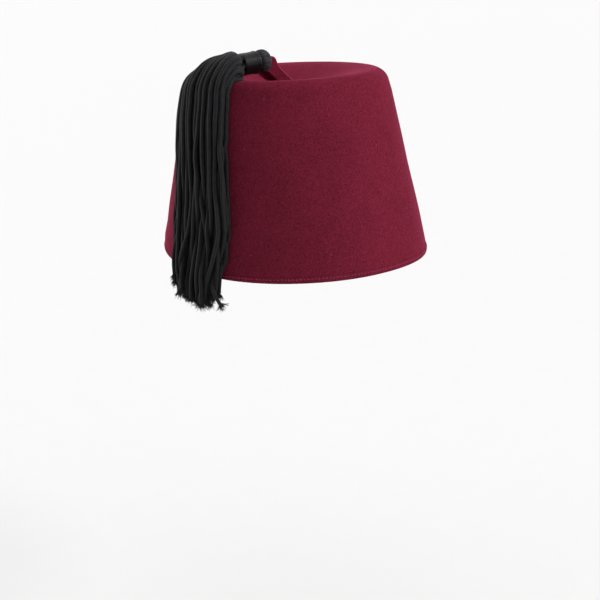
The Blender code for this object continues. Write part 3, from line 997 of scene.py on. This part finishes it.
def cord_material(name, dark, light):
    nodes = material_nodes(name)
    coordinates = nodes.add("ShaderNodeTexCoord")
    place = coordinates.outputs["Object"]
    flat = nodes.add("ShaderNodeSeparateXYZ", {"Vector": coordinates.outputs["UV"]})
    around, along = flat.outputs["X"], flat.outputs["Y"]
    turn = 2 * math.pi
    climb = nodes.math("MULTIPLY", along, 3 * turn / TWIST_PITCH)
    right = nodes.math("MULTIPLY_ADD", around, 3 * turn, climb)
    left = nodes.math("SUBTRACT", climb, nodes.math("MULTIPLY", around, 5 * turn))
    plait = nodes.math("MAXIMUM", nodes.math("SINE", right), nodes.math("SINE", left))
    knit = nodes.math("MULTIPLY_ADD", plait, 0.40, -0.12)
    hair = nodes.noise(place, 2400.0, 4.0, 0.7, 1.0)
    mottle = nodes.noise(place, 420.0, 3.0, 0.6)
    tone = nodes.ramp(nodes.math("MULTIPLY_ADD", knit, 0.9, mottle), 0.2, 0.8)
    colour = nodes.mix(tone, srgb(dark), srgb(light))
    height = nodes.math("MULTIPLY_ADD", hair, 0.6, knit)
    normal = nodes.bump(height, 0.8, 0.28 * MM)
    return nodes.principled(
        Base_Color=colour,
        Roughness=0.78,
        Specular_IOR_Level=0.12,
        Sheen_Weight=0.04,
        Sheen_Roughness=0.4,
        Sheen_Tint=srgb("b8b8c4"),
        Normal=normal,
    )


def thread_material(name, colour, roughness, shine, sheen):
    nodes = material_nodes(name)
    place = nodes.add("ShaderNodeTexCoord").outputs["Object"]
    fine = nodes.noise(place, 3000.0, 3.0, 0.6, 0.8)
    tone = nodes.noise(place, 500.0, 3.0, 0.6)
    base = srgb(colour)
    dim = (*(c * 0.62 for c in base[:3]), 1.0)
    return nodes.principled(
        Base_Color=nodes.mix(nodes.ramp(tone, 0.3, 0.7), dim, base),
        Roughness=roughness,
        Specular_IOR_Level=shine,
        Sheen_Weight=sheen,
        Sheen_Roughness=0.5,
        Normal=nodes.bump(fine, 0.35, 0.12 * MM),
    )


def floor_material():
    nodes = material_nodes("pale floor")
    place = nodes.add("ShaderNodeTexCoord").outputs["Object"]
    grain = nodes.noise(place, 40.0, 2.0, 0.5)
    return nodes.principled(
        Base_Color=nodes.mix(grain, srgb("d5d5d5"), srgb("d7d7d7")),
        Roughness=0.9,
        Specular_IOR_Level=0.1,
    )


# The studio


def direction(azimuth, rise):
    """The unit vector towards a place that is seen from the hat, for angles in degrees."""
    a, e = math.radians(azimuth), math.radians(rise)
    return Vector((math.sin(a) * math.cos(e), -math.cos(a) * math.cos(e), math.sin(e)))


def make_camera():
    """A look at the hat's middle, tipped and turned so that the hat stands in its place in the frame."""
    back = direction(CAMERA_AZIMUTH, CAMERA_RISE)
    forward = -back
    right = forward.cross(Vector((0, 0, 1))).normalized()
    up = right.cross(forward)
    aside = (HAT_PIXEL[0] - FRAME_PIXELS / 2) / FOCAL_PIXELS
    above = (FRAME_PIXELS / 2 - HAT_PIXEL[1]) / FOCAL_PIXELS
    tip = Matrix.Rotation(-math.atan(above), 3, right)
    forward, up = tip @ forward, tip @ up
    yaw = Matrix.Rotation(math.atan(aside), 3, up)
    forward, right = yaw @ forward, yaw @ right
    roll = math.radians(CAMERA_ROLL)
    cos, sin = math.cos(roll), math.sin(roll)
    right, up = cos * right + sin * up, cos * up - sin * right
    data = bpy.data.cameras.new("camera")
    data.lens = CAMERA_LENS
    data.sensor_width = SENSOR_WIDTH
    data.sensor_fit = "HORIZONTAL"
    data.clip_start = 0.01
    camera = bpy.data.objects.new("camera", data)
    rotation = Matrix((right, up, -forward)).transposed().to_4x4()
    spot = Vector((0, 0, HAT_MIDDLE)) + back * CAMERA_DISTANCE
    camera.matrix_world = Matrix.Translation(spot) @ rotation
    bpy.context.scene.collection.objects.link(camera)
    bpy.context.scene.camera = camera


def make_sun(name, towards, strength, angle):
    """A soft, even light that shines from a direction."""
    data = bpy.data.lights.new(name, "SUN")
    data.energy = strength
    data.angle = math.radians(angle)
    sun = bpy.data.objects.new(name, data)
    sun.rotation_euler = (-towards).to_track_quat("-Z", "Y").to_euler()
    bpy.context.scene.collection.objects.link(sun)


def soft_range(nodes, value, low, high, start, end):
    inputs = {"Value": value, "From Min": low, "From Max": high, "To Min": start, "To Max": end}
    node = nodes.add("ShaderNodeMapRange", inputs, interpolation_type="SMOOTHSTEP")
    return node.outputs["Result"]


def make_studio():
    """A white surround that is dim on the tassel's side in front, a soft key light and one behind."""
    world = bpy.data.worlds.new("studio")
    nodes = Nodes(world)
    place = nodes.add("ShaderNodeTexCoord").outputs["Generated"]
    inputs = {0: place, 1: direction(*DIM_TOWARDS)}
    facing = nodes.add("ShaderNodeVectorMath", inputs, operation="DOT_PRODUCT").outputs["Value"]
    high = soft_range(nodes, facing, -0.25, 0.85, SURROUND_FAR, 0.0)
    height = nodes.add("ShaderNodeSeparateXYZ", {"Vector": place}).outputs["Z"]
    horizon = soft_range(nodes, height, 0.04, 0.13, 0.0, 1.0)
    strength = nodes.add("ShaderNodeMix", {0: horizon, 2: SURROUND, 3: high}, data_type="FLOAT").outputs[0]
    nodes.fill(nodes.tree.nodes["Background"], {"Strength": strength, "Color": (1.0, 1.0, 1.0, 1.0)})
    scene = bpy.context.scene
    scene.world = world
    scene.view_settings.view_transform = "Standard"
    make_sun("key", direction(46, 34), 1.8, 28)
    make_sun("back left", direction(-146, 16), 2.0, 24)
    corners = ((-1, -1), (1, -1), (1, 1), (-1, 1))
    points = [(x * FLOOR_REACH, y * FLOOR_REACH, FLOOR_HEIGHT) for x, y in corners]
    build("floor", points, [(0, 1, 2, 3)], floor_material())


def main():
    make_camera()
    felt = felt_material("maroon felt", "541625", "7c2438")
    # A lighter copy of the felt for the strap's cut edges: a painted highlight, not a different felt.
    edge_highlight_felt = felt_material("cut felt edge with painted highlight", "84284a", "a8486c", lint=False)
    cord = cord_material("black cord", "111112", "29292b")
    # The bulb's cords are the same black cord, coloured lighter: painted light on the lit bulb.
    bulb_cord_painted_lighter = cord_material("black cord painted lighter for the bulb", "272729", "505053")
    thread = thread_material("black winding thread", "0d0d0f", 0.38, 0.36, 0.04)
    fray = thread_material("black frayed ends", "262628", 0.8, 0.12, 0.04)
    stitch = thread_material("maroon sewing thread", "923a56", 0.8, 0.05, 0.0)

    crown = make_crown(felt)
    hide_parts("crown")
    strap = make_strap(felt, edge_highlight_felt)
    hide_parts("tassel_strap")
    paths = cord_paths()
    cords = make_cords(paths, cord)
    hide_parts("tassel")
    pieces = (
        (crown, "crown"),
        (make_stitches(stitch), "crown"),
        (strap, "tassel_strap"),
        (cords, "tassel"),
        (make_bulb(bulb_cord_painted_lighter), "tassel"),
        (make_frays(paths, fray), "tassel"),
        (make_windings(thread), "tassel_collar"),
    )
    for piece, slot in pieces:
        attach(piece, "root")
    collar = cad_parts["tassel_collar"]
    collar.material_slots[0].material = thread
    make_studio()


main()
